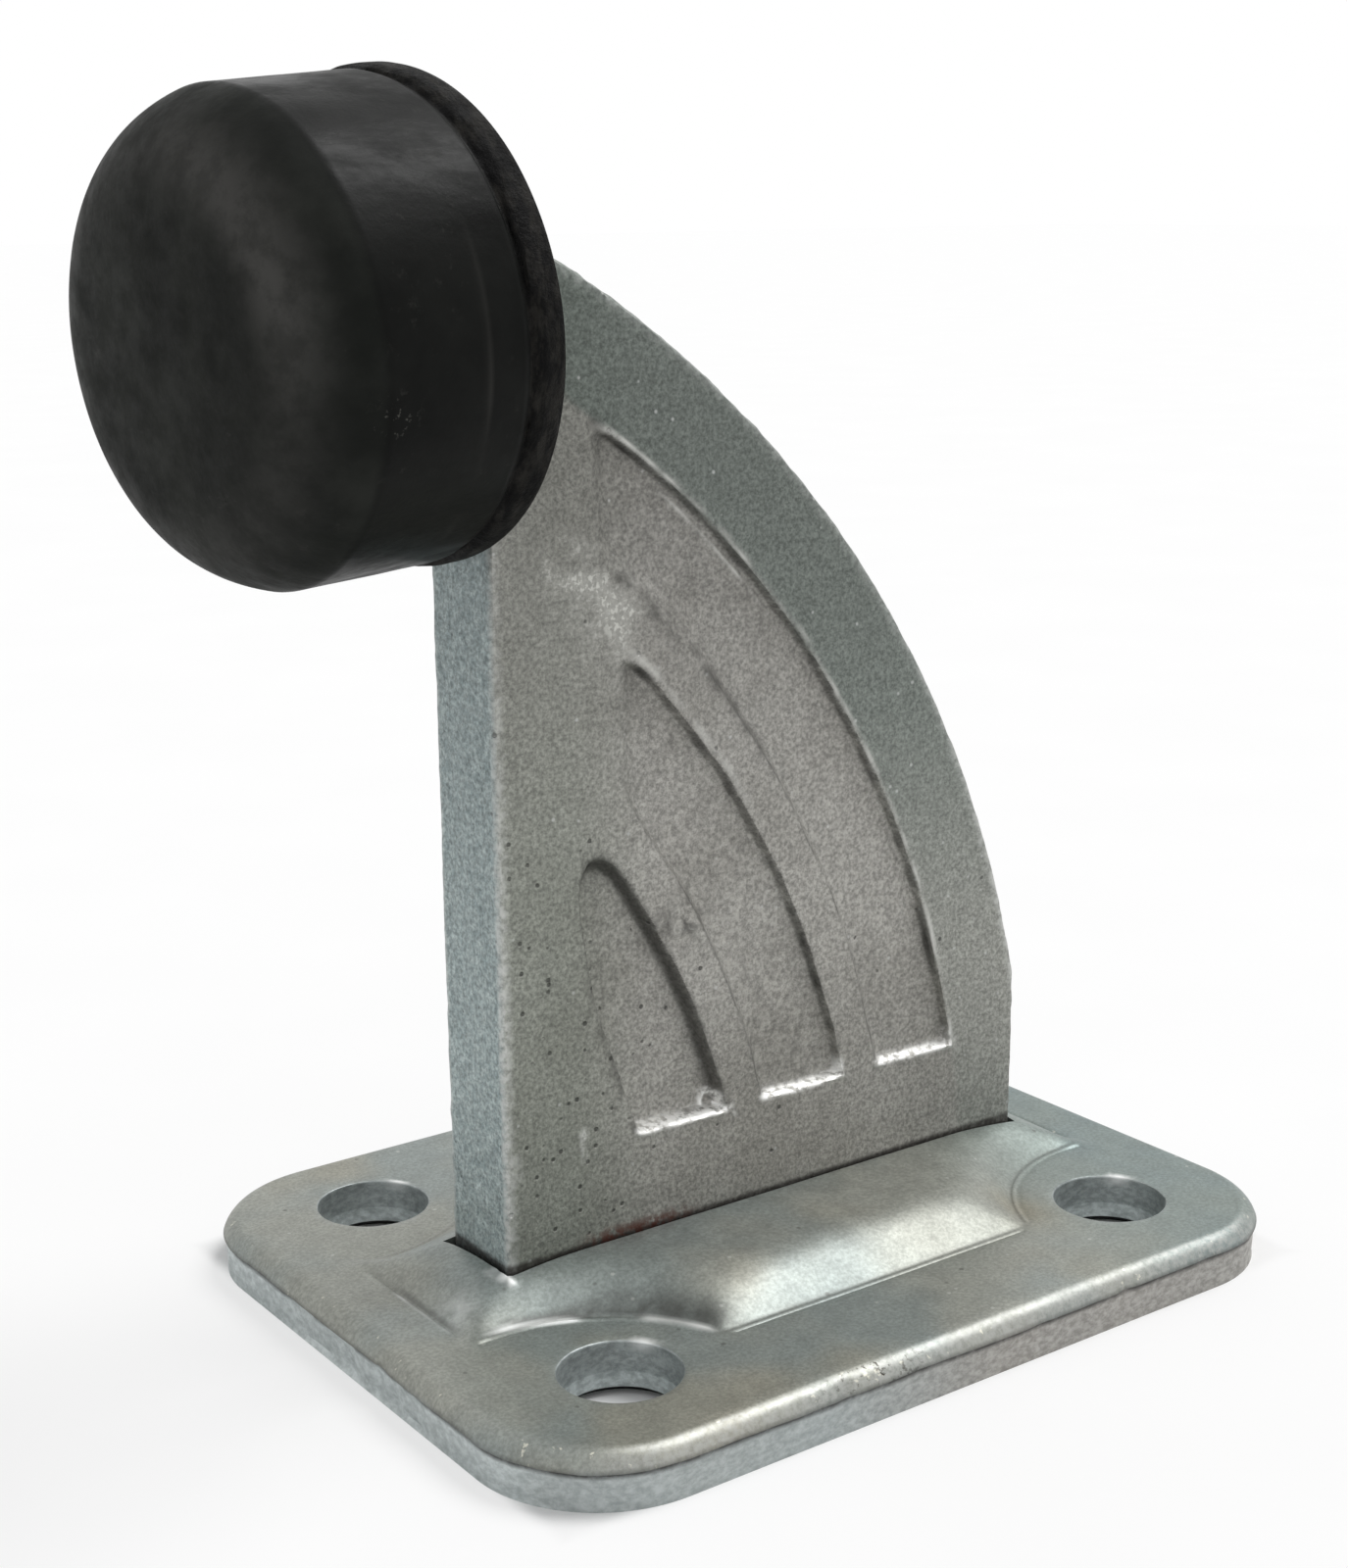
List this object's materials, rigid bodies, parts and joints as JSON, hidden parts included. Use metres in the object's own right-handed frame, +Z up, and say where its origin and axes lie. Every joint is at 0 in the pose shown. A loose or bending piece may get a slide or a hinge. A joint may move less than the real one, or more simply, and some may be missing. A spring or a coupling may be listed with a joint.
{
  "type": "floor door stop",
  "caption": "Floor-mounted door stop: a domed rubber buffer on an arched steel web with grooved faces, standing in a pressed steel base plate with bolt holes.",
  "frame": {"origin": "centre of the base plate's underside, in the middle of the four bolt holes", "axes": "+Z up from the floor; +X along the base plate's long side, so the rubber buffer faces -X; the pictured side faces -Y"},
  "size_m": [0.1056, 0.0706, 0.1147],
  "materials": {
    "plate_zinc": "satin zinc plating with pale blue-green and yellow tints",
    "web_zinc": "dull zinc plating over a grainy blasted surface",
    "weld_metal": "plated weld bead, slightly rusty",
    "stud_steel": "bright zinc plating",
    "buffer_rubber": "black moulded rubber with a soft sheen"
  },
  "bodies": {
    "root": {"base_plate": "plate_zinc", "web_plate": "web_zinc", "foot_weld": "weld_metal", "buffer_stud": "stud_steel", "rubber_buffer": "buffer_rubber"}
  },
  "joints": []
}
